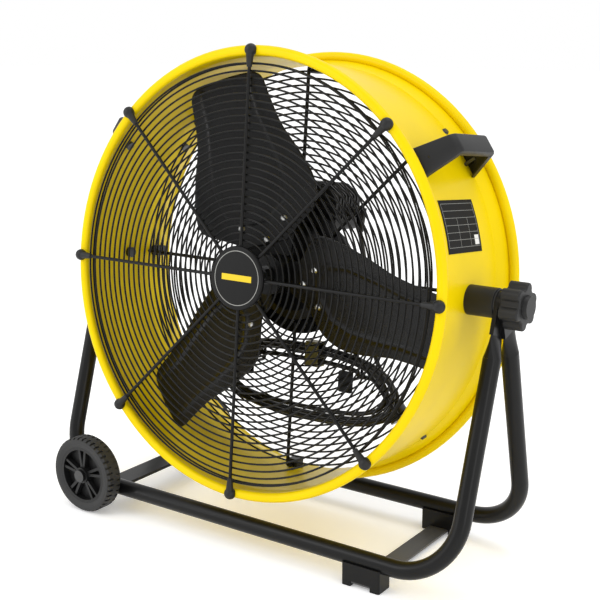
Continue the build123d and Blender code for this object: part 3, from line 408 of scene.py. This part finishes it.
# ---- rating plate: plain ruled lines, and a pale patch, no lettering -------------------------------
PRINT_RADIUS = 320.38
PRINT_THICKNESS = 0.08
PLATE_FRONT, PLATE_REAR = -57, 34  # along the drum
PLATE_LOW, PLATE_HIGH = 13.0, 23.9  # degrees above level
ROW_PITCH = 1.8
LINE_ANGLE = 0.09
TABLE_HIGH = 20.2


def print_strip(bm, y0, y1, a0, a1):
    """A thin curved strip on the plate, between two places along the drum and two angles."""
    inner = PRINT_RADIUS - PRINT_THICKNESS
    steps = max(1, round(abs(a1 - a0) / 1.5))
    rows = []
    for k in range(steps + 1):
        angle = a0 + (a1 - a0) * k / steps
        corners = ((PRINT_RADIUS, y0), (PRINT_RADIUS, y1), (inner, y1), (inner, y0))
        rows.append([bm.verts.new(around(r, angle, y)) for r, y in corners])
    for lower, upper in zip(rows, rows[1:]):
        bridge(bm, lower, upper)
    bm.faces.new(rows[0][::-1])
    bm.faces.new(rows[-1])


def print_on_plate(name, strips, material):
    bm = bmesh.new()
    for strip in strips:
        print_strip(bm, *strip)
    return piece(name, closed_mesh(name, bm), material, "drum", smooth=False)


row_angles = [PLATE_LOW + ROW_PITCH * k for k in range(7)]
ruled = [(PLATE_FRONT, PLATE_REAR, a, a + LINE_ANGLE) for a in row_angles]
ruled += [(PLATE_FRONT, PLATE_FRONT + 0.6, PLATE_LOW, PLATE_HIGH)]
ruled += [(PLATE_REAR - 0.6, PLATE_REAR, PLATE_LOW, PLATE_HIGH)]
ruled += [(y, y + 0.5, PLATE_LOW, TABLE_HIGH) for y in (-22, 8)]
print_on_plate("plate_lines", ruled, print_light)
print_on_plate("plate_patch", [(20, 32, 13.4, 15.8)], print_white)


# ---- badge: a plain ring and a plain bar -----------------------------------------------------------
SPOKE_PLANE, SPOKE_RADIUS, BADGE_THICKNESS = -104.42, 2.5, 5
BADGE_FACE = SPOKE_PLANE - SPOKE_RADIUS - BADGE_THICKNESS
PRINT_FRONT, PRINT_BACK = BADGE_FACE - 0.12, BADGE_FACE + 0.1  # sunk a little into the face


def badge_ring(inner, outer, segments=96):
    bm = bmesh.new()
    loops = []
    corners = ((inner, PRINT_FRONT), (outer, PRINT_FRONT), (outer, PRINT_BACK), (inner, PRINT_BACK))
    for k in range(segments):
        loops.append([bm.verts.new(around(r, 360 * k / segments, y)) for r, y in corners])
    for here, after in zip(loops, loops[1:] + loops[:1]):
        bridge(bm, here, after)
    return closed_mesh("badge_ring", bm)


def badge_bar(half_width, low, high):
    bm = bmesh.new()
    outline = ((-half_width, low), (half_width, low), (half_width, high), (-half_width, high))
    front, back = ([bm.verts.new(drum(x, y, z)) for x, z in outline] for y in (PRINT_FRONT, PRINT_BACK))
    bm.faces.new(front)
    bm.faces.new(back[::-1])
    bridge(bm, back, front)
    return closed_mesh("badge_bar", bm)


piece("badge_ring", badge_ring(39.2, 40.2), print_light, "drum", smooth=False)
piece("badge_bar", badge_bar(27, -4, 5), print_yellow, "drum", smooth=False)


# ---- stage and light -------------------------------------------------------------------------------
FLOOR_REACH = 30
FLOOR_GLOW = 0.22  # lifts the floor to white all the way to the horizon
floor = bpy.data.meshes.new("floor")
floor.from_pydata([(x * FLOOR_REACH, y * FLOOR_REACH, 0) for x, y in ((-1, -1), (1, -1), (1, 1), (-1, 1))],
                  [], [(0, 1, 2, 3)])
ground = bpy.data.objects.new("floor", floor)
bpy.context.scene.collection.objects.link(ground)
ground.location.z = -0.0005  # just clear of the feet and tyres
pale = finish("pale_floor", (0.95, 0.95, 0.95), 0.9, grain=30, bump=0.0, vary=0.01, specular=0.0)
glow = next(n for n in pale.node_tree.nodes if n.type == "BSDF_PRINCIPLED")
glow.inputs["Emission Color"].default_value = (1, 1, 1, 1)
glow.inputs["Emission Strength"].default_value = FLOOR_GLOW
floor.materials.append(pale)

world = bpy.data.worlds.new("studio")
bpy.context.scene.world = world
world.use_nodes = True
world.node_tree.nodes["Background"].inputs["Color"].default_value = (1, 1, 1, 1)
world.node_tree.nodes["Background"].inputs["Strength"].default_value = 1.0


MIDDLE = Vector((0, 0, 0.4))


def softbox(name, spot, size, power):
    """A rectangular lamp that faces the middle of the fan."""
    lamp = bpy.data.objects.new(name, bpy.data.lights.new(name, "AREA"))
    bpy.context.scene.collection.objects.link(lamp)
    lamp.location = spot
    lamp.rotation_euler = (MIDDLE - Vector(spot)).to_track_quat("-Z", "Y").to_euler()
    lamp.data.shape = "RECTANGLE"
    lamp.data.size, lamp.data.size_y = size
    lamp.data.energy = power


softbox("key", (-1.6, -2.6, 2.6), (1.6, 1.6), 30)
softbox("top", (0.6, 0.4, 3.2), (2.4, 1.6), 20)
softbox("side", (3.0, -0.4, 1.2), (1.2, 1.8), 8)
# tall strips, low in front, that the blades' pressed ribs catch
softbox("strip_left", (-2.4, -2.7, 0.8), (0.35, 1.4), 9)
softbox("strip_right", (2.7, -2.0, 0.8), (0.35, 1.4), 9)
